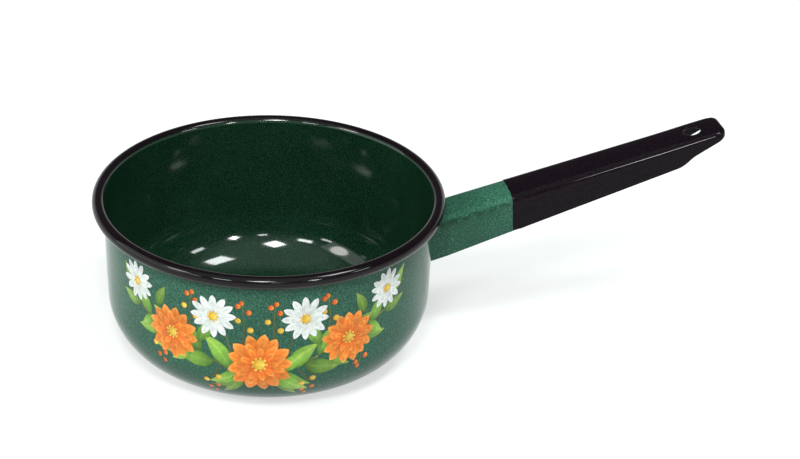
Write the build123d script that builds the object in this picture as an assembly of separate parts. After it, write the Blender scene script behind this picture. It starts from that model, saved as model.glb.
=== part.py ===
from build123d import *
import math
import os

# Enamelled steel milk pan, in millimetres. The origin is the middle of the base's underside,
# +Z is up and the handle points along +X. Sheets are measured over the green enamel that is
# fused to both their faces. The round stretches of a section are drawn as short flats.

# Bowl
rim_inside_diameter = 160.0
pan_height = 82.0
base_diameter = 97.0
corner_radius = 31.0
corner_flat_count = 10
bowl_sheet = 1.0

# Bead that the bowl's edge is curled into
bead_diameter = 6.4
curl_sweep = 258.0         # degrees of sheet in the curl
bead_flat_count = 4

# Black coat on the bead
rim_coat = 0.2
rim_coat_start = 139.6     # degrees up from the outward direction, on the bead's inner side

# Handle: a channel pressed from sheet, open below
handle_length = 155.9      # from the bowl's wall to the tip, along the top
handle_tilt = 12.9         # degrees above level
handle_seat_height = 61.45  # top of the handle at the wall
handle_root_width = 22.0
handle_tip_width = 19.4
handle_sheet = 1.2
shoulder_radius = 3.5
shoulder_flat_count = 3
tip_corner_radius = 6.8
tip_corner_flat_count = 3

# Lower edge of the handle's flanges, as depths below the top
root_flange_depth = 21.3
step_flange_depth = 12.5
step_drop = 3.3
tip_skirt_depth = 3.3
step_setback = 26.4        # from the tip, where the flanges step up
step_length = 6.0
step_round = 10.0

# Black coat on the grip
grip_coat = 0.25
grip_start = 40.8          # level distance from the wall

# Hanging hole through the finished grip
hole_diameter = 9.0
hole_setback = 15.4        # from the tip
hole_edge = 0.8            # flat broken on the upper edge

# Weld between handle and wall
weld_leg = 1.3

overrun = 5.0              # how far cutting shapes reach past what they cut

bead_radius = bead_diameter / 2
curl_radius = bead_radius - rim_coat
wall_radius = rim_inside_diameter / 2 + bowl_sheet
curl_centre = Vector(rim_inside_diameter / 2 + curl_radius, pan_height - bead_radius)
corner_centre = Vector(base_diameter / 2, corner_radius)


def wall_lean():
    """Angle in degrees of the wall's outward normal, where it touches both corner and curl."""
    reach = curl_centre - corner_centre
    closeness = (corner_radius - bowl_sheet + curl_radius) / reach.length
    return math.degrees(math.atan2(reach.Y, reach.X) - math.acos(closeness))


wall_angle = wall_lean()
curl_start = 180 + wall_angle
curl_end = curl_start - curl_sweep


def round_points(centre, radius, start, end, flats):
    """Corners of the flats that stand for an arc, angles in degrees."""
    points = []
    for step in range(flats + 1):
        turn = math.radians(start + (end - start) * step / flats)
        points.append(Vector(centre.X + radius * math.cos(turn), centre.Y + radius * math.sin(turn)))
    return points


def bead_points(radius, start, end):
    return round_points(curl_centre, radius, start, end, bead_flat_count)


def wall_top():
    """Point of the outer face where the wall runs into the curl."""
    return round_points(curl_centre, curl_radius - bowl_sheet, curl_start, curl_end, 1)[0]


def turned(points):
    """Solid of revolution of a closed outline given as radius and height."""
    return revolve(Plane.XZ * make_face(Polyline(*points, close=True)), Axis.Z)


def bowl_skin(inset, curl):
    """One face of the bowl's sheet from the axis to the sheet's edge."""
    corner = round_points(corner_centre, corner_radius - inset, -90, wall_angle, corner_flat_count)
    bead = [round_points(curl_centre, curl, curl_start, rim_coat_start, 1)[0]]
    return [Vector(0, inset)] + corner + bead + bead_points(curl, rim_coat_start, curl_end)


def bowl_pressing():
    outside = bowl_skin(0, curl_radius - bowl_sheet)
    inside = bowl_skin(bowl_sheet, curl_radius)
    return turned(outside + inside[::-1])


def rim_enamel():
    under = bead_points(curl_radius, rim_coat_start, curl_end)
    over = bead_points(bead_radius, rim_coat_start, curl_end)
    return turned(under + over[::-1])


def bowl_blank():
    """All that the bowl's outer face encloses up to the bead, for trimming the handle's root."""
    corner = round_points(corner_centre, corner_radius, -90, wall_angle, corner_flat_count)
    return turned([Vector(0, 0)] + corner + [wall_top(), Vector(0, wall_top().Y)])


def handle_frame():
    """Plane on the handle's top: X along the handle from the wall, Y across, Z out of the top."""
    tilt = math.radians(handle_tilt)
    return Plane(
        origin=(wall_radius, 0, handle_seat_height),
        x_dir=(math.cos(tilt), 0, math.sin(tilt)),
        z_dir=(-math.sin(tilt), 0, math.cos(tilt)),
    )


def plan(inset, depth):
    """Outline of the handle seen from above, at a depth below its top."""
    start = -2 * handle_root_width
    widening = (handle_root_width - handle_tip_width) / handle_length
    half_start = (handle_root_width - widening * start) / 2 - inset
    centre = Vector(handle_length - tip_corner_radius, handle_tip_width / 2 - tip_corner_radius)
    far_corner = round_points(centre, tip_corner_radius - inset, 90, 0, tip_corner_flat_count)
    near_corner = [Vector(point.X, -point.Y) for point in reversed(far_corner)]
    outline = [Vector(start, half_start)] + far_corner + near_corner + [Vector(start, -half_start)]
    return Plane.XY.offset(-depth) * make_face(Polyline(*outline, close=True))


def envelope(inset):
    """Block with the handle's outer form, or its inner one at an inset of the sheet."""
    radius = shoulder_radius - inset
    sections = []
    for step in range(shoulder_flat_count + 1):
        turn = math.radians(90 * step / shoulder_flat_count)
        sections.append(plan(inset + radius * (1 - math.sin(turn)), inset + radius * (1 - math.cos(turn))))
    sections.append(plan(inset, root_flange_depth * 2))
    return loft(sections, ruled=True)


def below_flanges(grow):
    """Everything under the flanges' lower edge, to be cut away."""
    step_place = handle_length - step_setback
    slope = (root_flange_depth - step_flange_depth) / step_place
    start = -2 * handle_root_width
    deep = -4 * root_flange_depth
    after = step_place + step_length
    far = handle_length + overrun
    rise = (step_flange_depth - step_drop - tip_skirt_depth) / (handle_length - after)
    edge = FilletPolyline(
        (start, -(root_flange_depth - slope * start) - grow),
        (step_place, -step_flange_depth - grow),
        (after, -step_flange_depth + step_drop - grow),
        (far, -tip_skirt_depth + rise * overrun - grow),
        radius=step_round,
    )
    down = Line(edge @ 1, (far, deep))
    back = Line((far, deep), (start, deep))
    up = Line((start, deep), edge @ 0)
    side = Plane.XZ * make_face([edge, down, back, up])
    return extrude(side, handle_root_width * 2, both=True)


def hole_cut(grow):
    """Hanging hole with its upper edge broken by a flat."""
    radius = hole_diameter / 2 + grip_coat - grow
    deep = root_flange_depth
    outline = [
        Vector(0, overrun),
        Vector(radius + hole_edge + overrun, overrun),
        Vector(radius, grow - hole_edge),
        Vector(radius, -deep),
        Vector(0, -deep),
    ]
    return Pos(handle_length - hole_setback, 0, 0) * turned(outline)


def channel(grow):
    """The handle's pressing, thickened by a coat on all its faces; a grow of zero is bare."""
    shell = envelope(-grow) - envelope(handle_sheet + grow)
    return shell - below_flanges(grow) - hole_cut(grow)


def handle_channel():
    return handle_frame() * channel(0) - bowl_blank()


def grip_enamel():
    reach = handle_length * 2
    zone = Pos(wall_radius + grip_start + reach / 2, 0, handle_seat_height) * Box(reach, reach, reach)
    return (handle_frame() * (channel(grip_coat) - channel(0))) & zone


def wall_plane():
    """Plane that touches the wall's outer face under the handle, Z out of the wall."""
    lean = math.radians(wall_angle)
    top = wall_top()
    return Plane(origin=(top.X, 0, top.Y), x_dir=(0, 1, 0), z_dir=(math.cos(lean), 0, math.sin(lean)))


def handle_weld():
    """Weld bead along the handle's top and outer faces, where they meet the wall."""
    block = handle_frame() * envelope(0)
    wide = section(handle_frame() * envelope(-2 * weld_leg), wall_plane().offset(-weld_leg))
    flush = section(block, wall_plane().offset(weld_leg))
    collar = loft([wide.face(), flush.face()], ruled=True)
    return collar - block - bowl_blank() - handle_frame() * below_flanges(0)


if __name__ == "__main__":
    os.makedirs("parts", exist_ok=True)
    pieces = {
        "bowl_pressing": bowl_pressing(),
        "rim_enamel": rim_enamel(),
        "handle_channel": handle_channel(),
        "grip_enamel": grip_enamel(),
        "handle_weld": handle_weld(),
    }
    for name, shape in pieces.items():
        export_step(shape, "parts/" + name + ".step")
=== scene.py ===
import bpy
import bmesh
import math
import random
import numpy as np
from mathutils import Matrix, Vector


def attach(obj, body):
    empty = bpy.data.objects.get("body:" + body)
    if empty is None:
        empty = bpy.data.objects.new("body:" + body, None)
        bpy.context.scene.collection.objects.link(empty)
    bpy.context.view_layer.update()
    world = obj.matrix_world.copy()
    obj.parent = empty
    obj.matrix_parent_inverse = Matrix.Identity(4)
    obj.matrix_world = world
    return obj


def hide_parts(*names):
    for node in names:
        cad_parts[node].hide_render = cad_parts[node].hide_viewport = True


# Enamelled milk pan. The pan's own dictionaries give lengths in millimetres, and makeMesh turns them
# to metres. The bowl stands on its base at the origin and the handle points along +X.

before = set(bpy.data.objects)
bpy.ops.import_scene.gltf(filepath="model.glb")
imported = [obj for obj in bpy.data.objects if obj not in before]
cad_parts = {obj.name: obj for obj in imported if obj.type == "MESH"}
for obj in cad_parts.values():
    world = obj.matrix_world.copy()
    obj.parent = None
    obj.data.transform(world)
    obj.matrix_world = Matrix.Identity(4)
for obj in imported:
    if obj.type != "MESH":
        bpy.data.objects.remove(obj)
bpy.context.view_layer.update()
print("frame loaded with", len(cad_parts), "nodes")

millimetre = 0.001
mergeDistance = 1e-6         # metres


# Mesh helpers

def makeMesh(name, verts, faces, material, sharpAngle=38, marks=None):
    # marks are lists of one number a point, which a material reads by name
    mesh = bpy.data.meshes.new(name)
    mesh.from_pydata([tuple(v) for v in np.asarray(verts, float) * millimetre], [], faces)
    bm = bmesh.new()
    bm.from_mesh(mesh)
    for key, values in (marks or {}).items():
        layer = bm.verts.layers.float.new(key)
        for vert, value in zip(bm.verts, values):
            vert[layer] = value
    bmesh.ops.remove_doubles(bm, verts=bm.verts, dist=mergeDistance)
    bmesh.ops.recalc_face_normals(bm, faces=bm.faces)
    bm.to_mesh(mesh)
    bm.free()
    mesh.shade_smooth()
    mesh.set_sharp_from_angle(angle=math.radians(sharpAngle))
    piece = bpy.data.objects.new(name, mesh)
    bpy.context.scene.collection.objects.link(piece)
    mesh.materials.append(material)
    return piece


def settle(piece, slotName, *nodes):
    if nodes:
        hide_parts(*nodes)
    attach(piece, "root")


def gridFaces(rows, columns, first=0, closeRows=False, closeColumns=False):
    faces = []
    for r in range(rows if closeRows else rows - 1):
        for c in range(columns if closeColumns else columns - 1):
            a = first + r * columns + c
            b = first + r * columns + (c + 1) % columns
            d = first + (r + 1) % rows * columns + c
            e = first + (r + 1) % rows * columns + (c + 1) % columns
            faces.append((a, b, e, d))
    return faces


def arcPoints(centre, radius, start, end, count):
    turns = np.radians(np.linspace(start, end, count))
    return np.stack([centre[0] + radius * np.cos(turns), centre[1] + radius * np.sin(turns)], 1)


def linePoints(a, b, count):
    share = np.linspace(0, 1, count)[:, None]
    return np.asarray(a) * (1 - share) + np.asarray(b) * share


def curveSpot(spots, t):
    # spot on the quadratic curve that three control spots give
    a, b, e = spots
    return a * (1 - t) ** 2 + b * 2 * t * (1 - t) + e * t * t


def smooth(low, high, value):
    share = min(max((value - low) / (high - low), 0.0), 1.0)
    return share * share * (3 - 2 * share)


def lathe(name, profileAt, segments, material, sharpAngle=38):
    # profileAt gives a closed outline of (radius, height) for one azimuth
    rings = []
    for turn in np.linspace(0, 2 * math.pi, segments, endpoint=False):
        radius, height = profileAt(turn).T
        rings.append(np.stack([radius * math.cos(turn), radius * math.sin(turn), height], 1))
    count = len(rings[0])
    faces = gridFaces(segments, count, closeRows=True, closeColumns=True)
    return makeMesh(name, np.concatenate(rings), faces, material, sharpAngle)


def wavy(turn, seed, waves=(3, 5, 8, 13, 21)):
    # slow unevenness, between about -1 and 1, that closes on itself after a full turn
    seedStep = 1.7
    usualPeak = 2.3
    total = sum(math.sin(k * turn + seed * k * seedStep) / (i + 1) for i, k in enumerate(waves))
    return total / usualPeak


# Material helpers; add and link are the two functions that nodeTools gives

def nodeTools(material):
    tree = material.node_tree
    tree.nodes.clear()

    def add(kind, **values):
        node = tree.nodes.new(kind)
        for key, value in values.items():
            if hasattr(node, key):
                setattr(node, key, value)
            else:
                node.inputs[key.replace("_", " ")].default_value = value
        return node

    return add, tree.links.new


def glossMaterial(name, look):
    material = bpy.data.materials.new(name)
    material.use_nodes = True
    add, link = nodeTools(material)
    out = add("ShaderNodeOutputMaterial")
    shader = add("ShaderNodeBsdfPrincipled", Roughness=look["roughness"], IOR=look["index"])
    shader.inputs["Specular IOR Level"].default_value = look["shine"]
    link(shader.outputs[0], out.inputs[0])
    return material, add, link, shader


def maths(add, link, operation, *values):
    # each value is a socket or a plain number
    node = add("ShaderNodeMath", operation=operation)
    for socket, value in zip(node.inputs, values):
        if isinstance(value, (int, float)):
            socket.default_value = value
        else:
            link(value, socket)
    return node.outputs[0]


def noise(add, link, place, **values):
    texture = add("ShaderNodeTexNoise", **values)
    link(place, texture.inputs["Vector"])
    return texture.outputs[0]


def mapped(add, link, value, low, high, start=0.0, end=1.0):
    # start up to low, end from high on, and a straight run between
    level = add("ShaderNodeMapRange")
    for socket, number in (("From Min", low), ("From Max", high), ("To Min", start), ("To Max", end)):
        level.inputs[socket].default_value = number
    link(value, level.inputs[0])
    return level.outputs[0]


def toned(add, link, value, stops):
    # colours in order along a value from 0 to 1
    node = add("ShaderNodeValToRGB")
    colours = node.color_ramp
    while len(colours.elements) < len(stops):
        colours.elements.new(0.5)
    for element, (place, colour) in zip(colours.elements, stops):
        element.position = place
        element.color = (*colour, 1)
    link(value, node.inputs[0])
    return node.outputs[0]


def covered(add, link, share, colour, coverColour):
    mix = add("ShaderNodeMix", data_type="RGBA")
    link(share, mix.inputs[0])
    link(colour, mix.inputs[6])
    mix.inputs[7].default_value = (*coverColour, 1)
    return mix.outputs[2]


def addRipples(add, link, place, shader, look):
    # slow waves in the glaze
    waves = noise(add, link, place, Scale=look["ripple"], Detail=2.0)
    bump = add("ShaderNodeBump", Strength=1.0, Distance=look["rippleHeight"])
    link(waves, bump.inputs["Height"])
    link(bump.outputs[0], shader.inputs["Normal"])


# Enamels. Grain, specks, cloud, ripple and drips are noise scales per metre, rippleHeight is metres

speckle = {
    "grainShare": 0.82,
    "cloudShare": 0.18,
    "tonePlaces": (0.40, 0.50, 0.60),    # noise levels of the deep, middle and light colours
    "pale": (0.0, 0.70),     # shift of the specks' noise, and its level at which they begin
    "dark": (7.3, 0.68),
    "speckEdge": 0.06,
    "bandBreakup": 260.0,
    "patchy": (0.38, 0.58),  # noise levels between which the painted shade band breaks up
}

speckledGreen = {
    "deep": (0.014, 0.064, 0.037),
    "middle": (0.025, 0.091, 0.058),
    "light": (0.045, 0.136, 0.094),
    "pale": (0.088, 0.205, 0.155),
    "dark": (0.0080, 0.038, 0.022),
    "shoulderShade": (0.0091, 0.038, 0.02),    # painted shade: the dark band where the handle's shoulder mirrors dark surroundings
    "roughness": 0.10,
    "index": 1.52,
    "shine": 0.13,
    "grain": 1200,
    "specks": 1300,
    "cloud": 25,
    "ripple": 140,
    "rippleHeight": 0.00002,
}

speckledInside = {
    "deep": (0.0022, 0.0120, 0.0054),
    "middle": (0.0043, 0.0195, 0.0095),
    "light": (0.0084, 0.0310, 0.0165),
    "pale": (0.0155, 0.0450, 0.0265),
    "dark": (0.0013, 0.0066, 0.0032),
    "shoulderShade": (0.0014, 0.0074, 0.0037),
    "roughness": 0.08,
    "index": 1.52,
    "shine": 0.34,
    "grain": 1500,
    "specks": 1300,
    "cloud": 25,
    "ripple": 110,
    "rippleHeight": 0.000025,
}


def enamel(name, look):
    material, add, link, shader = glossMaterial(name, look)
    place = add("ShaderNodeTexCoord").outputs["Object"]

    grain = noise(add, link, place, Scale=look["grain"], Detail=3.0, Roughness=0.65)
    cloud = noise(add, link, place, Scale=look["cloud"], Detail=4.0, Roughness=0.6)
    cloudPart = maths(add, link, "MULTIPLY", cloud, speckle["cloudShare"])
    both = maths(add, link, "MULTIPLY_ADD", grain, speckle["grainShare"], cloudPart)
    tones = (look["deep"], look["middle"], look["light"])
    colour = toned(add, link, both, list(zip(speckle["tonePlaces"], tones)))

    for key in ("pale", "dark"):
        away, least = speckle[key]
        shift = add("ShaderNodeVectorMath", operation="ADD")
        shift.inputs[1].default_value = (away, away, away)
        link(place, shift.inputs[0])
        spots = noise(add, link, shift.outputs[0], Scale=look["specks"], Detail=1.0, Roughness=0.4)
        share = mapped(add, link, spots, least, least + speckle["speckEdge"])
        colour = covered(add, link, share, colour, look[key])

    # painted shade: a dark ragged band on the handle's shoulder rows, in place of the dark surroundings
    # they mirror
    shadeBand = add("ShaderNodeAttribute", attribute_name="shadeBand").outputs["Fac"]
    bandBreakup = noise(add, link, place, Scale=speckle["bandBreakup"], Detail=3.0)
    shadeBandShare = maths(add, link, "MULTIPLY", shadeBand, mapped(add, link, bandBreakup, *speckle["patchy"]))
    colour = covered(add, link, shadeBandShare, colour, look["shoulderShade"])
    link(colour, shader.inputs["Base Color"])
    addRipples(add, link, place, shader, look)
    return material


blackGlaze = {
    "deep": (0.0029, 0.0011, 0.0022),
    "light": (0.006, 0.0029, 0.0048),
    "tonePlaces": (0.4, 0.65),
    "roughness": 0.075,
    "index": 1.5,
    "shine": 0.22,
    "grain": 900,
    "ripple": 150,
    "rippleHeight": 0.00002,
}

gripGlaze = {
    **blackGlaze,
    "deep": (0.0040, 0.0018, 0.0036),
    "light": (0.0078, 0.0042, 0.0072),
    "roughness": 0.045,
    "shine": 0.09,
}


def blackEnamel(name, look):
    material, add, link, shader = glossMaterial(name, look)
    place = add("ShaderNodeTexCoord").outputs["Object"]
    grain = noise(add, link, place, Scale=look["grain"], Detail=3.0)
    colour = toned(add, link, grain, list(zip(look["tonePlaces"], (look["deep"], look["light"]))))
    link(colour, shader.inputs["Base Color"])
    addRipples(add, link, place, shader, look)
    return material


outsideEnamel = enamel("outsideSpeckledEnamel", speckledGreen)
insideSpeckled = enamel("insideSpeckledEnamel", speckledInside)
blackCoat = blackEnamel("blackGlossEnamel", blackGlaze)
gripBlack = blackEnamel("blackGripEnamel", gripGlaze)
print("enamels mixed")


# Bowl, with the green coat inside it and the black coat on its rim

bowl = {
    "rimInsideRadius": 80.0,
    "height": 82.0,
    "baseRadius": 48.5,
    "cornerRadius": 31.0,
    "sheet": 1.0,
    "beadRadius": 3.2,       # over the black coat
    "curlSweep": 258.0,      # degrees
    "segments": 288,
    "linePoints": 8,
    "cornerPoints": 34,
    "curlPoints": 40,
}

insideCoat = {
    "thick": 0.14,
    "sink": 0.02,            # how far it reaches into the sheet below
    "lap": 6,                # degrees that it runs on under the black coat
}

rimCoat = {
    "thick": 0.2,
    "sink": 0.02,
    "start": 139.6,          # degrees up from outward, on the bead's inner side
    "uneven": 1.1,           # degrees that this edge wanders
    "edgeRise": 0.25,        # share of the thickness at the edge itself
    "shoulderRise": 0.8,
    "shoulderIn": 1.2,       # degrees in from the edge
    "fullIn": 3.2,
    "endShort": 1,           # degrees short of the curl's end
    "points": 56,
}

curlRadius = bowl["beadRadius"] - rimCoat["thick"]
curlCentre = (bowl["rimInsideRadius"] + curlRadius, bowl["height"] - bowl["beadRadius"])
cornerCentre = (bowl["baseRadius"], bowl["cornerRadius"])
reach = np.subtract(curlCentre, cornerCentre)
closeness = (bowl["cornerRadius"] - bowl["sheet"] + curlRadius) / np.hypot(*reach)
wallAngle = math.degrees(math.atan2(reach[1], reach[0]) - math.acos(closeness))
curlStart = 180 + wallAngle
curlEnd = curlStart - bowl["curlSweep"]
wallTopHeight = curlCentre[1] + (curlRadius - bowl["sheet"]) * math.sin(math.radians(curlStart))
wallTopRadius = curlCentre[0] + (curlRadius - bowl["sheet"]) * math.cos(math.radians(curlStart))


def skinPoints(inset, curl, end):
    # one face of the sheet from the axis, up the wall and round the curl to an angle
    floor = linePoints((0.0, inset), (cornerCentre[0], inset), bowl["linePoints"])
    corner = arcPoints(cornerCentre, bowl["cornerRadius"] - inset, -90, wallAngle, bowl["cornerPoints"])
    bead = arcPoints(curlCentre, curl, curlStart, end, bowl["curlPoints"])
    wall = linePoints(corner[-1], bead[0], bowl["linePoints"])
    return np.concatenate([floor[:-1], corner, wall[1:-1], bead])


def bowlOutline(_turn):
    outside = skinPoints(0.0, curlRadius - bowl["sheet"], curlEnd)
    under = insideCoat["thick"] - insideCoat["sink"]
    inside = skinPoints(bowl["sheet"] - under, curlRadius - under, curlEnd)
    return np.concatenate([outside, inside[::-1]])


def insideOutline(_turn):
    end = rimCoat["start"] - insideCoat["lap"]
    face = skinPoints(bowl["sheet"], curlRadius, end)
    back = skinPoints(bowl["sheet"] - insideCoat["thick"], curlRadius - insideCoat["thick"], end)
    return np.concatenate([face, back[::-1]])


def rimOutline(turn):
    start = rimCoat["start"] + rimCoat["uneven"] * wavy(turn, 1)
    end = curlEnd + rimCoat["endShort"]
    inward = start - rimCoat["shoulderIn"]
    edgeRadius = curlRadius + rimCoat["edgeRise"] * rimCoat["thick"]
    shoulderRadius = curlRadius + rimCoat["shoulderRise"] * rimCoat["thick"]
    edge = arcPoints(curlCentre, edgeRadius, start, start, 1)
    shoulder = arcPoints(curlCentre, shoulderRadius, inward, inward, 1)
    face = arcPoints(curlCentre, bowl["beadRadius"], start - rimCoat["fullIn"], end, rimCoat["points"])
    back = arcPoints(curlCentre, curlRadius - rimCoat["sink"], end, start, rimCoat["points"])
    return np.concatenate([edge, shoulder, face, back])


settle(lathe("bowlShell", bowlOutline, bowl["segments"], outsideEnamel), "green_enamel", "bowl_pressing")
settle(lathe("insideEnamel", insideOutline, bowl["segments"], insideSpeckled), "inside_enamel")
blackRim = lathe("rimCoat", rimOutline, bowl["segments"], blackCoat, sharpAngle=60)
settle(blackRim, "black_enamel", "rim_enamel")
print("bowl turned, wall leaning", round(wallAngle, 2), "degrees")


# Handle: u runs along its top from the wall, v across it, and depth below the top

handle = {
    "seatRadius": 81.0,
    "seatHeight": 61.45,
    "tilt": 12.9,            # degrees
    "length": 155.9,
    "rootHalfWidth": 11.0,
    "tipHalfWidth": 9.7,
    "sheet": 1.2,
    "wallSink": 0.25,        # how far its root reaches into the bowl's wall
    "shoulder": 3.5,         # radius between top and flanges
    "shoulderTightens": 118.0,
    "tipShoulder": 2.5,
    "cornerTightens": (0.05, 0.9),   # shares of the tip's corner
    "endShoulder": 1.3,
    "leastInner": 0.3,       # smallest radius on the sheet's inner side
    "tipCorner": 5.2,
    "rootDepth": 21.3,
    "stepDepth": 12.5,
    "stepPlace": 129.5,
    "stepEnd": 135.5,
    "stepDrop": 3.3,
    "easeBefore": 2.0,       # rounding of the step to both sides
    "easeAfter": 2.5,
    "skirtDepth": 3.3,
    "crown": 0.9,            # rise of the top's middle
    "crownFades": 141.0,     # from here to the tip
    "crownDepths": (1.5, 4.5),       # depths between which it dies out in the flanges
    "holePlace": 140.5,
    "holeRadius": 4.75,      # before the black coat
    "holeFlare": 1.35,
    "holeFlareDepth": 0.55,
    "underFlare": 0.35,
    "holeRoom": 8.3,         # stretch of the top kept for the hole, to each side
    "holding": 0.3,          # narrow row that keeps flat faces flat beside round ones
    "shoulderShadeRows": {6: 0.35, 7: 0.85, 8: 1.0, 9: 0.8, 10: 0.3},     # rows on the shoulder that get the painted shade band, and how strongly
}

# how finely the handle and its coat are divided
handleRows = {
    "rootFirst": 3.0,        # places along the handle
    "straightEnd": 122.0,
    "straight": 40,
    "tipStart": 123.2,
    "tip": 24,
    "corner": 15,
    "endShares": (0.66, 0.33),
    "round": 9,
    "smallRound": 5,
    "flangeShares": (0.08, 0.36, 0.68, 1.0),
    "backShares": (1.0, 0.66, 0.33, 0.08),
    "web": 9,
}

tilt = math.radians(handle["tilt"])
cornerStart = handle["length"] - handle["tipCorner"]
tipPlaces = list(np.linspace(handleRows["tipStart"], cornerStart, handleRows["tip"]))


def halfWidth(u):
    narrowing = handle["rootHalfWidth"] - handle["tipHalfWidth"]
    return handle["rootHalfWidth"] - narrowing * u / handle["length"]


def crownAt(u, v, depth):
    # the top is pressed slightly domed across, and flatter again at the tip and in the flanges
    across = max(1 - (v / halfWidth(u)) ** 2, 0.0)
    toTip = min(max((u - handle["crownFades"]) / (handle["length"] - handle["crownFades"]), 0.0), 1.0)
    return handle["crown"] * across * (1 - toTip ** 2) * (1 - smooth(*handle["crownDepths"], depth))


def handlePoint(u, v, depth):
    low = depth - crownAt(u, v, depth)
    x = handle["seatRadius"] + u * math.cos(tilt) + low * math.sin(tilt)
    z = handle["seatHeight"] + u * math.sin(tilt) - low * math.cos(tilt)
    return (x, v, z)


def flangeDepth(u):
    before = handle["rootDepth"] - (handle["rootDepth"] - handle["stepDepth"]) * u / handle["stepPlace"]
    stepped = handle["stepDepth"] - handle["stepDrop"]
    rise = (stepped - handle["skirtDepth"]) / (handle["length"] - handle["stepEnd"])
    after = stepped - rise * (u - handle["stepEnd"])
    blend = smooth(handle["stepPlace"] - handle["easeBefore"], handle["stepEnd"] + handle["easeAfter"], u)
    return before * (1 - blend) + after * blend


def wallRadius(z):
    # outer radius of the bowl at a height, on its wall or its round corner
    lean = math.radians(wallAngle)
    if z < cornerCentre[1] + bowl["cornerRadius"] * math.sin(lean):
        return cornerCentre[0] + math.sqrt(max(bowl["cornerRadius"] ** 2 - (cornerCentre[1] - z) ** 2, 0))
    return wallTopRadius + (wallTopHeight - z) * math.tan(lean)


def wallStart(v, depth):
    # where a line along the handle meets the wall, a little inside its face, found in a few rounds
    rounds = 12
    u = 0.0
    for _ in range(rounds):
        x, _v, z = handlePoint(u, v, depth)
        u += (math.sqrt((wallRadius(z) - handle["wallSink"]) ** 2 - v * v) - x) / math.cos(tilt)
    return u


def shoulderAt(u):
    tightened = smooth(handle["shoulderTightens"], cornerStart, u)
    return handle["shoulder"] + (handle["tipShoulder"] - handle["shoulder"]) * tightened


def outlineColumns(places):
    # far flank, corner, end, corner and near flank, each as (u, v, outward u, outward v, shoulder)
    corner = handle["tipCorner"]
    centreV = handle["tipHalfWidth"] - corner
    far = [(u, halfWidth(u), 0.0, 1.0, shoulderAt(u)) for u in places]
    for turn in np.radians(np.linspace(90, 0, handleRows["corner"]))[1:]:
        nu, nv = math.cos(turn), math.sin(turn)
        share = smooth(*handle["cornerTightens"], 1 - turn / (math.pi / 2))
        radius = handle["tipShoulder"] + (handle["endShoulder"] - handle["tipShoulder"]) * share
        far.append((cornerStart + corner * nu, centreV + corner * nv, nu, nv, radius))
    for part in handleRows["endShares"]:
        far.append((handle["length"], centreV * part, 1.0, 0.0, handle["endShoulder"]))
    near = [(u, -v, nu, -nv, radius) for u, v, nu, nv, radius in reversed(far)]
    return far + [(handle["length"], 0.0, 1.0, 0.0, handle["endShoulder"])] + near


def columnProfile(u, shoulder, grow):
    # offsets outward from the outline, and depths, from the web over the flange to the web's underside
    below = handle["sheet"] + grow
    turns = np.radians(np.linspace(0, 90, handleRows["round"]))
    edgeTurns = np.radians(np.linspace(0, 180, handleRows["round"]))[1:-1]
    outer = shoulder + grow
    half = handle["sheet"] / 2 + grow
    low = flangeDepth(u) + grow - half
    inner = max(shoulder - handle["sheet"] - grow, handle["leastInner"])
    top = [(-shoulder - handle["holding"], -grow)]
    top += [(grow - outer * (1 - math.sin(t)), -grow + outer * (1 - math.cos(t))) for t in turns]
    flange = [(grow, shoulder + (low - shoulder) * s) for s in handleRows["flangeShares"]]
    edge = [(-handle["sheet"] / 2 + half * math.cos(t), low + half * math.sin(t)) for t in edgeTurns]
    back = [(-below, below + inner + (low - below - inner) * s) for s in handleRows["backShares"]]
    under = [(-below - inner * (1 - math.sin(t)), below + inner * (1 - math.cos(t))) for t in turns[::-1]]
    under += [(-below - inner - handle["holding"], below)]
    return top + flange + edge + back + under


def holeRings(loop, upper, grow):
    # rings from a loop on the web to the wall of the hanging hole, all as (u, v, depth)
    radius = handle["holeRadius"] - grow
    depth = -grow if upper else handle["sheet"] + grow
    centre = np.array((handle["holePlace"], 0.0, depth))
    turns = np.arctan2(loop[:, 1], loop[:, 0] - handle["holePlace"])
    out = np.stack([np.cos(turns), np.sin(turns), np.zeros(len(turns))], 1)
    flare = handle["holeFlare"] if upper else handle["underFlare"]
    sink = handle["holeFlareDepth"] if upper else -handle["underFlare"]
    edge = centre + out * (radius + flare + handle["holding"])
    rings = [loop + (edge - loop) * s for s in (0.0, 0.5, 1.0)]
    for t in np.radians(np.linspace(0, 90, handleRows["round"] if upper else handleRows["smallRound"])):
        away = radius + flare * (1 - math.sin(t))
        rings.append(centre + out * away + np.array((0.0, 0.0, sink * (1 - math.cos(t)))))
    return rings


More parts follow.
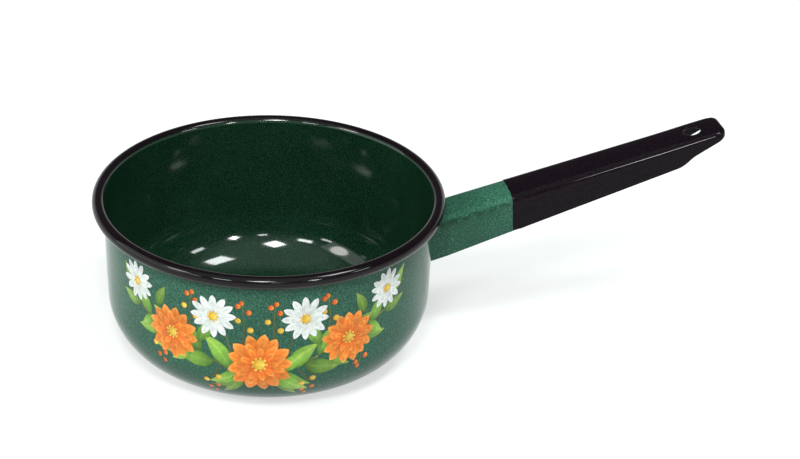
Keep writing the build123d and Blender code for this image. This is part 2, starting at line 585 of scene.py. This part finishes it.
def channelSkin(places, growAt, startAt):
    # the channel's surface, closed but for its start; the loop of that start; the shoulder rows that get
    # the painted shade band
    grid = []
    columns = outlineColumns(places)
    for number, (u, v, nu, nv, shoulder) in enumerate(columns):
        profile = columnProfile(u, shoulder, growAt(u))
        column = [(u + nu * offset, v + nv * offset, depth) for offset, depth in profile]
        if number in (0, len(columns) - 1):
            column = [(startAt(across, depth), across, depth) for _u, across, depth in column]
        grid.append(column)
    rows = len(grid[0])
    spots = [spot for column in grid for spot in column]
    faces = gridFaces(len(grid), rows)

    split = min(i for i, u in enumerate(places) if u >= handle["holePlace"] - handle["holeRoom"])
    web = handleRows["web"]
    starts, rings = [], []
    for side in (0, rows - 1):
        strip = [linePoints(grid[i][side], grid[-1 - i][side], web) for i in range(split + 1)]
        strip[0] = np.array([(startAt(across, depth), across, depth) for _u, across, depth in strip[0]])
        faces += gridFaces(len(strip), web, len(spots))
        spots += [tuple(spot) for line in strip for spot in line]
        starts.append([tuple(spot) for spot in strip[0]])
        around = [grid[i][side] for i in range(split, len(grid) - split)]
        loop = np.array(around + [tuple(spot) for spot in strip[split][1:-1][::-1]])
        rings.append(holeRings(loop, side == 0, growAt(handle["holePlace"])))
    hole = rings[0] + rings[1][::-1]
    faces += gridFaces(len(hole), len(hole[0]), len(spots), closeColumns=True)
    spots += [tuple(spot) for ring in hole for spot in ring]
    start = starts[0] + grid[-1][1:] + starts[1][::-1][1:] + grid[0][1:-1][::-1]
    # shoulder rows marked for the painted shade band
    shadeBand = [0.0] * len(spots)
    for number in range(len(grid)):
        for row, amount in handle["shoulderShadeRows"].items():
            shadeBand[number * rows + row] = amount
    return [handlePoint(*spot) for spot in spots], faces, [handlePoint(*spot) for spot in start], shadeBand


def handlePressing():
    straight = np.linspace(handleRows["rootFirst"], handleRows["straightEnd"], handleRows["straight"])
    places = [0.0] + list(straight) + tipPlaces
    verts, faces, start, shadeBand = channelSkin(places, lambda u: 0.0, wallStart)
    faces.append(tuple(range(len(verts), len(verts) + len(start))))     # cut end at the wall
    marks = {"shadeBand": shadeBand + [0.0] * len(start)}
    return makeMesh("handlePressing", verts + start, faces, outsideEnamel, marks=marks)


# Black coat over the outer part of the handle

grip = {
    "coat": 0.25,
    "back": 0.03,            # gap between the pressing and the coat's hidden face
    "start": 40.8,           # level distance from the wall
    "slantAcross": 0.04,     # the dipped edge runs back on the near side
    "slantDown": 0.058,      # and forward down the flanges
    "waveAcross": (0.14, 0.9),       # height of its waves, and radians a millimetre
    "waveDown": (0.12, 0.7),
    "lapWidth": 3.0,         # the first stretch of the coat stands a little proud
    "lapRise": 0.04,
    "lapEase": 0.9,
    "edgeShare": 0.35,       # share of the thickness at the edge itself
    "edgeEase": 0.5,
    "firstRow": 0.05,
    "edgeRows": (0.0, 0.15, 0.35, 0.7, 1.3, 2.1, 2.9, 3.3, 4.0, 6.0),
    "restFrom": 9,
    "rest": 24,
}


def gripCoat():
    def startAt(v, depth):
        slant = grip["slantAcross"] * v + grip["slantDown"] * max(depth, 0.0)
        (highAcross, stepAcross), (highDown, stepDown) = grip["waveAcross"], grip["waveDown"]
        uneven = highAcross * math.sin(v * stepAcross) + highDown * math.sin(depth * stepDown + 1)
        return (grip["start"] + slant + uneven - depth * math.sin(tilt)) / math.cos(tilt)

    begin = grip["start"] / math.cos(tilt)
    near = [begin + grip["firstRow"] + d for d in grip["edgeRows"]]
    rest = np.linspace(begin + grip["restFrom"], handleRows["straightEnd"], grip["rest"])
    places = near + list(rest) + tipPlaces

    def growAt(u):
        away = u - begin
        lap = 1 - smooth(grip["lapWidth"] - grip["lapEase"], grip["lapWidth"] + grip["lapEase"], away)
        ease = grip["edgeShare"] + (1 - grip["edgeShare"]) * smooth(0.0, grip["edgeEase"], away)
        return (grip["coat"] + grip["lapRise"] * lap) * ease

    outer = channelSkin(places, growAt, startAt)
    inner = channelSkin(places, lambda u: grip["back"], startAt)
    first = len(outer[0]) + len(inner[0])
    faces = outer[1] + [tuple(i + len(outer[0]) for i in f) for f in inner[1]]
    faces += gridFaces(2, len(outer[2]), first, closeColumns=True)
    return makeMesh("gripCoat", outer[0] + inner[0] + outer[2] + inner[2], faces, gripBlack)


settle(handlePressing(), "green_enamel", "handle_channel")
settle(gripCoat(), "black_enamel", "grip_enamel")
print("handle pressed and its grip coated")


# Weld at the handle's root

weld = {
    "leg": 1.35,
    "uneven": 0.12,
    "waves": (4, 7, 11, 17),
    "waveSeed": 5,
    "waveSpan": 6.28,
    "sink": 0.12,            # how far its edge on the handle lies inside the pressing
    "hollowAlong": 0.28,     # shares of the leg at the middle of its hollow face
    "hollowOut": 0.16,
    "endShare": 0.35,        # share of the leg left at its two ends
    "endFade": 0.06,
    "lowPlace": -5.0,        # where along the handle its lower ends are measured
    "lowShort": 1.0,         # how far they stop above the flange's edge
    "flankPoints": 26,
    "cornerPoints": 14,
    "topPoints": 10,
    "facePoints": 7,
}


def weldBead():
    # path up the far flange, over the top and down the near one: (v, depth, outward v, outward depth)
    shoulder = handle["shoulder"]
    half = handle["rootHalfWidth"]
    low = flangeDepth(weld["lowPlace"]) - weld["lowShort"]
    path = [(half, d, 1.0, 0.0) for d in np.linspace(low, shoulder, weld["flankPoints"])]
    for t in np.radians(np.linspace(0, 90, weld["cornerPoints"]))[1:-1]:
        across, up = math.cos(t), math.sin(t)
        path.append((half - shoulder + shoulder * across, shoulder - shoulder * up, across, -up))
    path += [(v, 0.0, 0.0, -1.0) for v in np.linspace(half - shoulder, 0, weld["topPoints"])]
    path += [(-v, d, -nv, nd) for v, d, nv, nd in reversed(path[:-1])]
    rings = []
    for number, (v, d, nv, nd) in enumerate(path):
        share = number / (len(path) - 1)
        ends = smooth(0.0, weld["endFade"], share) * smooth(0.0, weld["endFade"], 1 - share)
        full = weld["endShare"] + (1 - weld["endShare"]) * ends
        leg = weld["leg"] * full
        leg *= 1 + weld["uneven"] * wavy(share * weld["waveSpan"], weld["waveSeed"], weld["waves"])
        sunkV, sunkD = v - nv * weld["sink"], d - nd * weld["sink"]
        wallV, wallD = v + nv * leg, d + nd * leg
        midV, midD = v + nv * leg * weld["hollowOut"], d + nd * leg * weld["hollowOut"]
        place = wallStart(v, d)
        corner = handlePoint(wallStart(sunkV, sunkD), sunkV, sunkD)
        onHandle = handlePoint(place + leg, sunkV, sunkD)
        hollow = handlePoint(place + leg * weld["hollowAlong"], midV, midD)
        onWall = handlePoint(wallStart(wallV, wallD), wallV, wallD)
        face = [np.array(spot) for spot in (onHandle, hollow, onWall)]
        rings.append([corner] + [curveSpot(face, t) for t in np.linspace(0, 1, weld["facePoints"])])
    count = len(rings[0])
    verts = [tuple(p) for ring in rings for p in ring]
    faces = gridFaces(len(rings), count, closeColumns=True)
    faces.append(tuple(range(count)))
    faces.append(tuple(range(len(verts) - count, len(verts))))
    return makeMesh("weldBead", verts, faces, outsideEnamel, sharpAngle=60)


settle(weldBead(), "green_enamel", "handle_weld")
print("handle welded on")


# Printed garland on the wall that faces the viewer, fired into the glaze as thin flat layers.
# Spots on it are (along the wall from its middle, down the wall from the bead)

garland = {
    "middle": 254.65,        # degrees round the pan
    "wrapRadius": 84.0,
    "layer": 0.014,          # lift of one layer over the one below
    "ink": 0.016,
    "seed": 11,
    "halfSpan": 82.0,
    "lowest": 50.0,
    "sag": 32.0,
    "sagPower": 1.7,
    "swing": 1.6,            # small waves of the main stem
    "swingLength": 8,
    "stations": 23,
    "stemWidths": (1.1, 1.1),        # at the start and at the end
    "branchWidths": (0.9, 0.6),
}

chance = random.Random(garland["seed"])
wallStraight = wallTopHeight - cornerCentre[1] - bowl["cornerRadius"] * math.sin(math.radians(wallAngle))
wallStraight /= math.cos(math.radians(wallAngle))


def wallSpot(s, d, lift):
    # s along the wall from the garland's middle, d down the wall from the bead
    lean = math.radians(wallAngle)
    if d > wallStraight:
        lean -= (d - wallStraight) / bowl["cornerRadius"]
        radius = cornerCentre[0] + (bowl["cornerRadius"] + lift) * math.cos(lean)
        z = cornerCentre[1] + (bowl["cornerRadius"] + lift) * math.sin(lean)
    else:
        radius = wallTopRadius + d * math.sin(lean) + lift * math.cos(lean)
        z = wallTopHeight - d * math.cos(lean) + lift * math.sin(lean)
    turn = math.radians(garland["middle"]) + s / garland["wrapRadius"]
    return (radius * math.cos(turn), radius * math.sin(turn), z)


def newPrint():
    return {"verts": [], "faces": [], "along": [], "across": [], "tone": []}


def addPatch(sheet, spotAt, level, rows=11, columns=7):
    # spotAt(t, c) gives (s, d) with t from base to tip and c from edge to edge
    tone = chance.random()
    lift = garland["layer"] * level
    first = len(sheet["verts"])
    for height in (lift + garland["ink"], lift - 2 * garland["ink"]):
        for t in np.linspace(0, 1, rows):
            for c in np.linspace(-1, 1, columns):
                s, d = spotAt(t, c)
                sheet["verts"].append(wallSpot(s, d, height))
                sheet["along"].append(float(t))
                sheet["across"].append(abs(float(c)))
                sheet["tone"].append(tone)
    sheet["faces"] += gridFaces(rows, columns, first)
    under = first + rows * columns
    sheet["faces"] += [tuple(reversed(f)) for f in gridFaces(rows, columns, under)]
    border = [r * columns for r in range(rows)]
    border += [(rows - 1) * columns + c for c in range(1, columns)]
    border += [r * columns + columns - 1 for r in range(rows - 2, -1, -1)]
    border += list(range(columns - 2, 0, -1))
    for a, b in zip(border, border[1:] + border[:1]):
        sheet["faces"].append((first + a, first + b, under + b, under + a))


def addBlade(sheet, base, angle, length, width, level, bend, fullness, blunt=1.0):
    # leaf or petal from its base; the angle is from the right, turning upward on the wall
    def spotAt(t, c):
        turn = angle + bend * t / 2
        half = width * math.sin(math.pi * t ** fullness) ** blunt if 0 < t < 1 else 0.0
        s = base[0] + length * t * math.cos(turn) - c * half * math.sin(angle + bend * t)
        d = base[1] - length * t * math.sin(turn) - c * half * math.cos(angle + bend * t)
        return s, d

    addPatch(sheet, spotAt, level)


def addDisc(sheet, centre, radius, level):
    def spotAt(t, c):
        across = math.sqrt(max(1 - (2 * t - 1) ** 2, 0.0))
        return centre[0] + radius * (2 * t - 1), centre[1] + radius * across * c

    addPatch(sheet, spotAt, level, rows=11, columns=5)


def addStem(sheet, spots, widths, level):
    # ribbon along the quadratic curve that three control spots give
    a, b, e = (np.array(p, float) for p in spots)

    def spotAt(t, c):
        heading = (b - a) * (1 - t) + (e - b) * t
        side = np.array((-heading[1], heading[0])) / np.hypot(*heading)
        half = (widths[0] * (1 - t) + widths[1] * t) / 2
        return curveSpot((a, b, e), t) + side * c * half

    addPatch(sheet, spotAt, level, rows=13, columns=3)


# layers from the wall out
printLevel = {
    "mainStem": 1,
    "branch": 2,
    "stalk": 3,
    "leaf": 3,
    "lowLeaf": 4,
    "sideLeaf": 5,
    "berry": 7,
    "flower": 8,
}

# rings are (petals, share of the radius) with the outermost first, and spots are (along, down, radius)
orangeFlowers = {
    "spots": ((0.0, 46.5, 17.5), (-46.0, 36.5, 15.0), (46.0, 36.5, 15.0)),
    "rings": ((13, 1.0), (11, 0.8), (9, 0.58)),
    "petalWidth": 0.2,
    "blunt": 0.75,
}
whiteFlowers = {
    "spots": ((-23.0, 22.0, 12.5), (23.0, 22.0, 12.5), (-69.0, 17.0, 11.0), (69.0, 17.0, 11.0)),
    "rings": ((12, 1.0), (9, 0.72)),
    "petalWidth": 0.155,
    "blunt": 0.6,
}
everyFlower = {
    "turnVaries": 0.05,
    "shortest": 0.93,
    "bendVaries": 0.12,
    "fullness": 1.5,
    "eye": 0.17,             # shares of the radius
    "dots": 9,
    "dotRing": 0.2,
    "dotSize": 0.045,
}


def addFlowers(petals, centres, look):
    for s, d, radius in look["spots"]:
        for number, (count, share) in enumerate(look["rings"]):
            for k in range(count):
                angle = s + 2 * math.pi * (k + 0.5 * number) / count
                angle += chance.uniform(-everyFlower["turnVaries"], everyFlower["turnVaries"])
                length = radius * share * chance.uniform(everyFlower["shortest"], 1.0)
                width = radius * look["petalWidth"] * share
                level = printLevel["flower"] + 2 * number + (k % 2)
                bend = chance.uniform(-everyFlower["bendVaries"], everyFlower["bendVaries"])
                shape = (bend, everyFlower["fullness"], look["blunt"])
                addBlade(petals, (s, d), angle, length, width, level, *shape)
        top = printLevel["flower"] + 2 * len(look["rings"]) + 1
        addDisc(centres, (s, d), radius * everyFlower["eye"], top)
        for k in range(everyFlower["dots"]):
            turn = 2 * math.pi * k / everyFlower["dots"]
            away = radius * everyFlower["dotRing"]
            dot = (s + away * math.cos(turn), d + away * math.sin(turn))
            addDisc(centres, dot, radius * everyFlower["dotSize"], top + 1)


def festoonAt(s):
    hang = garland["sag"] * (abs(s) / garland["halfSpan"]) ** garland["sagPower"]
    return garland["lowest"] - hang + garland["swing"] * math.sin(abs(s) / garland["swingLength"])


leafing = {
    "bareMiddle": 6,         # no leaves on the stem nearer the middle than this
    "length": 23.5,
    "shortens": 9.5,         # towards the ends of the garland
    "widthShare": 0.21,
    "spread": (0.55, 0.95),  # radians off the stem
    "varies": (0.9, 1.1),
    "bend": 0.5,
    "fullness": 0.8,
    "lowSpot": (8.0, 50.0),
    "lowLeaves": ((-1.25, 22), (-0.75, 21), (0.35, 19)),     # angle and length
    "lowWidth": 3.6,
    "sideLeaves": (
        ((31, 38), 1.95, 17),
        ((35, 42), -0.9, 15),
        ((58, 31), -1.0, 13),
        ((55, 26), 1.75, 14),
    ),
    "sideWidthShare": 0.2,
    "sideBend": 0.45,
}


def addMainStem(stems, leaves):
    stations = np.linspace(-garland["halfSpan"], garland["halfSpan"], garland["stations"])
    for a, b in zip(stations[:-1], stations[1:]):
        middle = (a + b) / 2
        bow = (middle, 2 * festoonAt(middle) - (festoonAt(a) + festoonAt(b)) / 2)
        curve = [(a, festoonAt(a)), bow, (b, festoonAt(b))]
        addStem(stems, curve, garland["stemWidths"], printLevel["mainStem"])

    for number, s in enumerate(stations[1:-1]):
        way = 1 if s >= 0 else -1
        slope = math.atan2(festoonAt(s) - festoonAt(s + way), 1.0)
        outward = slope if way > 0 else math.pi - slope
        size = leafing["length"] - leafing["shortens"] * abs(s) / garland["halfSpan"]
        level = printLevel["leaf"] + number % 3
        for side in (1, -1):
            if (number + (side > 0)) % 2 and abs(s) > leafing["bareMiddle"]:
                angle = outward + side * way * chance.uniform(*leafing["spread"])
                length = size * chance.uniform(*leafing["varies"])
                width = size * leafing["widthShare"]
                shape = (-side * way * leafing["bend"], leafing["fullness"])
                addBlade(leaves, (s, festoonAt(s)), angle, length, width, level, *shape)


# tip, place where it leaves the main stem, and pull
daisyStems = (((23, 23), 14, (13, 32)), ((69, 17), 72, (73, 22)))

sprays = {
    "curves": (
        ((9, 40), (6, 26), (8.5, 13)),
        ((34, 36), (37, 22), (34, 11)),
        ((51, 33), (57, 46), (52, 55)),
        ((20, 50), (27, 58), (24, 68)),
    ),
    "widths": (0.8, 0.4),
    # share of the curve, and step aside
    "berries": ((0.42, 3.2), (0.6, -3.0), (0.78, 2.7), (0.9, -2.2), (1.0, 0.0)),
    "berryLift": 0.8,
    "stalkWidths": (0.5, 0.4),
    "stalkBow": (0, 0.5),
    "yellowUpTo": 0.7,       # orange beyond
    "berrySize": 1.9,
    "berryShrinks": 0.6,
}


def addHalf(way, stems, leaves, orange, centres):
    # what hangs on the main stem to one side; way is 1 to the right and -1 to the left
    def mirrored(spot):
        return np.array((way * spot[0], spot[1]), float)

    def addLeaf(spot, angle, length, width, level, bend):
        heading = angle if way > 0 else math.pi - angle
        addBlade(leaves, mirrored(spot), heading, length, width, level, way * bend, leafing["fullness"])

    for angle, length in leafing["lowLeaves"]:
        width = leafing["lowWidth"]
        addLeaf(leafing["lowSpot"], angle, length, width, printLevel["lowLeaf"], leafing["bend"])
    for spot, angle, length in leafing["sideLeaves"]:
        width = length * leafing["sideWidthShare"]
        addLeaf(spot, angle, length, width, printLevel["sideLeaf"], leafing["sideBend"])
    for tip, place, pull in daisyStems:
        curve = [mirrored(spot) for spot in ((place, festoonAt(place)), pull, tip)]
        addStem(stems, curve, garland["branchWidths"], printLevel["branch"])
    for spots in sprays["curves"]:
        curve = [mirrored(spot) for spot in spots]
        addStem(stems, curve, sprays["widths"], printLevel["branch"])
        for share, off in sprays["berries"]:
            spot = curveSpot(curve, share)
            berry = spot + np.array((off, -sprays["berryLift"] if off else 0.0))
            if off:
                stalk = [spot, (spot + berry) / 2 + sprays["stalkBow"], berry]
                addStem(stems, stalk, sprays["stalkWidths"], printLevel["stalk"])
            size = sprays["berrySize"] - sprays["berryShrinks"] * share
            berries = centres if share < sprays["yellowUpTo"] else orange
            addDisc(berries, berry, size, printLevel["berry"])


# Paints: "along" from base to tip, and "across" from the middle to both edges, which multiplies it

leafPaint = {
    "along": [(0.0, (0.051, 0.128, 0.019)), (0.45, (0.17, 0.332, 0.043)), (1.0, (0.281, 0.425, 0.076))],
    "across": [
        (0.0, (1.5, 1.35, 1.3)),
        (0.09, (1.0, 1.0, 1.0)),
        (0.8, (0.82, 0.86, 0.8)),
        (1.0, (0.5, 0.6, 0.5)),
    ],
    "strokes": 420,          # per metre
    "toneSpread": 0.7,       # how much one leaf differs from the next
}
orangePaint = {
    "along": [
        (0.0, (0.323, 0.03, 0.0068)),
        (0.4, (0.663, 0.119, 0.01)),
        (0.8, (0.748, 0.2, 0.02)),
        (1.0, (0.782, 0.34, 0.068)),
    ],
    "across": [
        (0.0, (0.82, 0.75, 0.7)),
        (0.25, (1.0, 1.0, 1.0)),
        (0.85, (1.0, 1.0, 1.0)),
        (1.0, (0.72, 0.55, 0.45)),
    ],
    "strokes": 500,
    "toneSpread": 0.35,
}
whitePaint = {
    "along": [(0.0, (0.425, 0.442, 0.306)), (0.35, (0.646, 0.663, 0.629)), (1.0, (0.714, 0.714, 0.714))],
    "across": [
        (0.0, (0.86, 0.88, 0.90)),
        (0.3, (1.0, 1.0, 1.0)),
        (0.85, (1.0, 1.0, 1.0)),
        (1.0, (0.72, 0.76, 0.80)),
    ],
    "strokes": 500,
    "toneSpread": 0.14,
}
centrePaint = {
    "along": [(0.0, (0.595, 0.255, 0.017)), (0.5, (0.765, 0.493, 0.043)), (1.0, (0.79, 0.612, 0.136))],
    "across": [(0.0, (1.0, 1.0, 1.0)), (0.8, (0.85, 0.8, 0.7)), (1.0, (0.55, 0.42, 0.3))],
    "strokes": 900,
    "toneSpread": 0.4,
}
stemPaint = {
    "along": [(0.0, (0.072, 0.064, 0.025)), (0.6, (0.093, 0.111, 0.03)), (1.0, (0.136, 0.196, 0.043))],
    "across": [(0.0, (1.25, 1.2, 1.1)), (1.0, (0.7, 0.7, 0.7))],
    "strokes": 600,
    "toneSpread": 0.4,
}
everyPaint = {
    "roughness": 0.12,
    "index": 1.52,
    "shine": 0.25,
    "strokeLevels": (0.3, 0.7),      # noise levels of the darkest and lightest strokes
    "strokeLight": (0.82, 1.15),
}


def printPaint(name, look):
    material, add, link, shader = glossMaterial(name, everyPaint)
    marks = {}
    for key in ("along", "across", "tone"):
        marks[key] = add("ShaderNodeAttribute", attribute_name=key).outputs["Fac"]
    shaded = add("ShaderNodeMix", data_type="RGBA", blend_type="MULTIPLY")
    shaded.inputs[0].default_value = 1.0
    link(toned(add, link, marks["along"], look["along"]), shaded.inputs[6])
    link(toned(add, link, marks["across"], look["across"]), shaded.inputs[7])
    place = add("ShaderNodeTexCoord").outputs["Object"]
    strokes = noise(add, link, place, Scale=look["strokes"], Detail=3.0)
    grain = mapped(add, link, strokes, *everyPaint["strokeLevels"], *everyPaint["strokeLight"])
    spread = look["toneSpread"]
    light = maths(add, link, "MULTIPLY_ADD", marks["tone"], spread, 1 - spread / 2)
    final = add("ShaderNodeVectorMath", operation="SCALE")
    link(shaded.outputs[2], final.inputs[0])
    link(maths(add, link, "MULTIPLY", light, grain), final.inputs["Scale"])
    link(final.outputs[0], shader.inputs["Base Color"])
    return material


def makeGarland():
    stems, leaves, orange, white, centres = (newPrint() for _ in range(5))
    addMainStem(stems, leaves)
    for way in (-1, 1):
        addHalf(way, stems, leaves, orange, centres)
    addFlowers(orange, centres, orangeFlowers)
    addFlowers(white, centres, whiteFlowers)
    prints = (
        ("printedStems", stems, stemPaint),
        ("printedLeaves", leaves, leafPaint),
        ("printedOrangeFlowers", orange, orangePaint),
        ("printedWhiteFlowers", white, whitePaint),
        ("printedCentres", centres, centrePaint),
    )
    for name, sheet, look in prints:
        marks = {k: sheet[k] for k in ("along", "across", "tone")}
        paint = printPaint(name + "Glaze", look)
        piece = makeMesh(name, sheet["verts"], sheet["faces"], paint, sharpAngle=60, marks=marks)
        settle(piece, "floral_print")
    print("garland printed with", sum(len(sheet["faces"]) for _name, sheet, _look in prints), "faces")


makeGarland()


# Floor, light and camera, with lengths in metres

studio = {
    "floorSize": 9.0,
    "floorDrop": 0.0002,     # keeps the floor's face off the base's
    "floorColour": (0.46, 0.46, 0.46),
    "floorGlow": 0.56,       # added where the floor is seen directly or mirrored
    "roomColour": (0.90, 0.95, 1.0),
    "roomStrength": 0.13,
    "whiteBelow": 10,        # degrees above level up to which the surroundings are seen as white
    "dimAbove": 20,
}


def seenOrMirrored(add, link):
    # 1 for camera, glossy and transmission rays
    seen = add("ShaderNodeLightPath")
    value = seen.outputs["Is Camera Ray"]
    for kind in ("Is Glossy Ray", "Is Transmission Ray"):
        value = maths(add, link, "MAXIMUM", value, seen.outputs[kind])
    return value


def makeFloor():
    bpy.ops.mesh.primitive_plane_add(size=studio["floorSize"], location=(0, 0, -studio["floorDrop"]))
    floor = bpy.context.object
    floor.name = "studioFloor"
    material = bpy.data.materials.new("paleFloor")
    material.use_nodes = True
    add, link = nodeTools(material)
    out = add("ShaderNodeOutputMaterial")
    matt = add("ShaderNodeBsdfDiffuse", Color=(*studio["floorColour"], 1))
    glow = add("ShaderNodeEmission")
    both = add("ShaderNodeAddShader")
    amount = maths(add, link, "MULTIPLY", seenOrMirrored(add, link), studio["floorGlow"])
    link(amount, glow.inputs["Strength"])
    link(matt.outputs[0], both.inputs[0])
    link(glow.outputs[0], both.inputs[1])
    link(both.outputs[0], out.inputs[0])
    floor.data.materials.append(material)


def makeWorld():
    world = bpy.data.worlds.new("softRoom")
    world.use_nodes = True
    bpy.context.scene.world = world
    add, link = nodeTools(world)
    out = add("ShaderNodeOutputWorld")
    room = add("ShaderNodeBackground", Color=(*studio["roomColour"], 1), Strength=studio["roomStrength"])
    white = add("ShaderNodeBackground", Color=(1, 1, 1, 1), Strength=1.0)
    height = add("ShaderNodeSeparateXYZ")
    link(add("ShaderNodeTexCoord").outputs["Generated"], height.inputs[0])
    whiteTop, dimStart = (math.sin(math.radians(studio[k])) for k in ("whiteBelow", "dimAbove"))
    level = mapped(add, link, height.outputs[2], whiteTop, dimStart, 1.0, 0.0)
    mix = add("ShaderNodeMixShader")
    link(maths(add, link, "MULTIPLY", seenOrMirrored(add, link), level), mix.inputs[0])
    link(room.outputs[0], mix.inputs[1])
    link(white.outputs[0], mix.inputs[2])
    link(mix.outputs[0], out.inputs[0])


# each lamp: degrees round the pan from +X, degrees up, distance, size, spin in degrees, brightness of
# its face, colour. The three ceilings lie close behind each other, for an edge that fades in steps
lamps = {
    "keyDiamond": (-107.7, 50.0, 1.6, (0.28, 0.28), 45, 47, (0.97, 1.0, 1.0)),
    "highSquare": (-31.1, 64.2, 1.6, (0.33, 0.33), -15, 29, (0.95, 1.0, 1.0)),
    "rightDiamond": (-73.4, 32.2, 1.6, (0.155, 0.155), 45, 60, (1.0, 1.0, 1.0)),
    "rightPanel": (-39.4, 35.9, 1.6, (0.26, 0.13), 0, 21, (0.93, 1.0, 1.0)),
    "leftPanel": (-132.5, 37.0, 1.6, (0.26, 0.13), 0, 34, (0.95, 1.0, 1.0)),
    "frontStrip": (-96.9, 31.3, 1.6, (0.15, 0.045), 0, 40, (0.95, 1.0, 1.0)),
    "farLeftPanel": (-148.5, 26.8, 1.6, (0.20, 0.07), 0, 22, (0.95, 1.0, 1.0)),
    "softLeft": (-164.5, 37.0, 1.6, (0.36, 0.42), 10, 11, (1.0, 0.95, 0.93)),
    "ceilingMiddle": (-104.0, 68.0, 2.1, (2.6, 2.0), 0, 0.22, (0.74, 1.0, 0.85)),
    "ceiling": (-104.0, 68.0, 2.11, (3.5, 2.7), 0, 0.22, (0.74, 1.0, 0.85)),
    "ceilingBorder": (-104.0, 68.0, 2.12, (4.4, 3.4), 0, 0.22, (0.74, 1.0, 0.85)),
    "leftWash": (178.0, 26.0, 1.9, (1.9, 1.4), 0, 1.75, (0.85, 1.0, 0.93)),
}
roundLamps = ("softLeft", "ceilingMiddle", "ceiling", "ceilingBorder")


def makeLamps():
    for name, (around, up, away, size, spin, glow, colour) in lamps.items():
        light = bpy.data.lights.new(name, "AREA")
        light.shape = "ELLIPSE" if name in roundLamps else "RECTANGLE"
        light.size, light.size_y = size
        light.energy = glow * math.pi * size[0] * size[1]
        light.color = colour
        holder = bpy.data.objects.new(name, light)
        turn, lift, angle = (math.radians(value) for value in (around, up, spin))
        out = Vector((math.cos(lift) * math.cos(turn), math.cos(lift) * math.sin(turn), math.sin(lift)))
        level = Vector((-math.sin(turn), math.cos(turn), 0))
        over = out.cross(level)
        x = level * math.cos(angle) + over * math.sin(angle)
        y = out.cross(x)
        holder.matrix_world = Matrix.Translation(out * away) @ Matrix((x, y, out)).transposed().to_4x4()
        bpy.context.scene.collection.objects.link(holder)


lens = {
    "elevation": 28.997,     # degrees
    "turn": -15.35,
    "roll": 1.753,
    "distance": 1.3084,
    "right": 0.0660,
    "up": 0.05325,
    "focal": 117.0,          # millimetres
    "sensor": 36.0,
}


def makeCamera():
    data = bpy.data.cameras.new("photoAngle")
    data.lens = lens["focal"]
    data.sensor_width = lens["sensor"]
    data.sensor_fit = "HORIZONTAL"
    data.dof.use_dof = False
    camera = bpy.data.objects.new("photoAngle", data)
    bpy.context.scene.collection.objects.link(camera)
    bpy.context.scene.camera = camera
    lift, turn, roll = (math.radians(lens[k]) for k in ("elevation", "turn", "roll"))
    spin = Matrix.Rotation(turn, 3, "Z")
    back = spin @ Vector((0, -math.cos(lift), math.sin(lift)))
    side = spin @ Vector((1, 0, 0))
    over = back.cross(side)
    right = side * math.cos(roll) + over * math.sin(roll)
    top = -side * math.sin(roll) + over * math.cos(roll)
    eye = back * lens["distance"] + right * lens["right"] + top * lens["up"]
    turned = Matrix((right, top, back)).transposed()
    camera.matrix_world = Matrix.Translation(eye) @ turned.to_4x4()


makeFloor()
makeWorld()
makeLamps()
makeCamera()
bpy.context.scene.view_settings.view_transform = "Standard"
print("studio set")
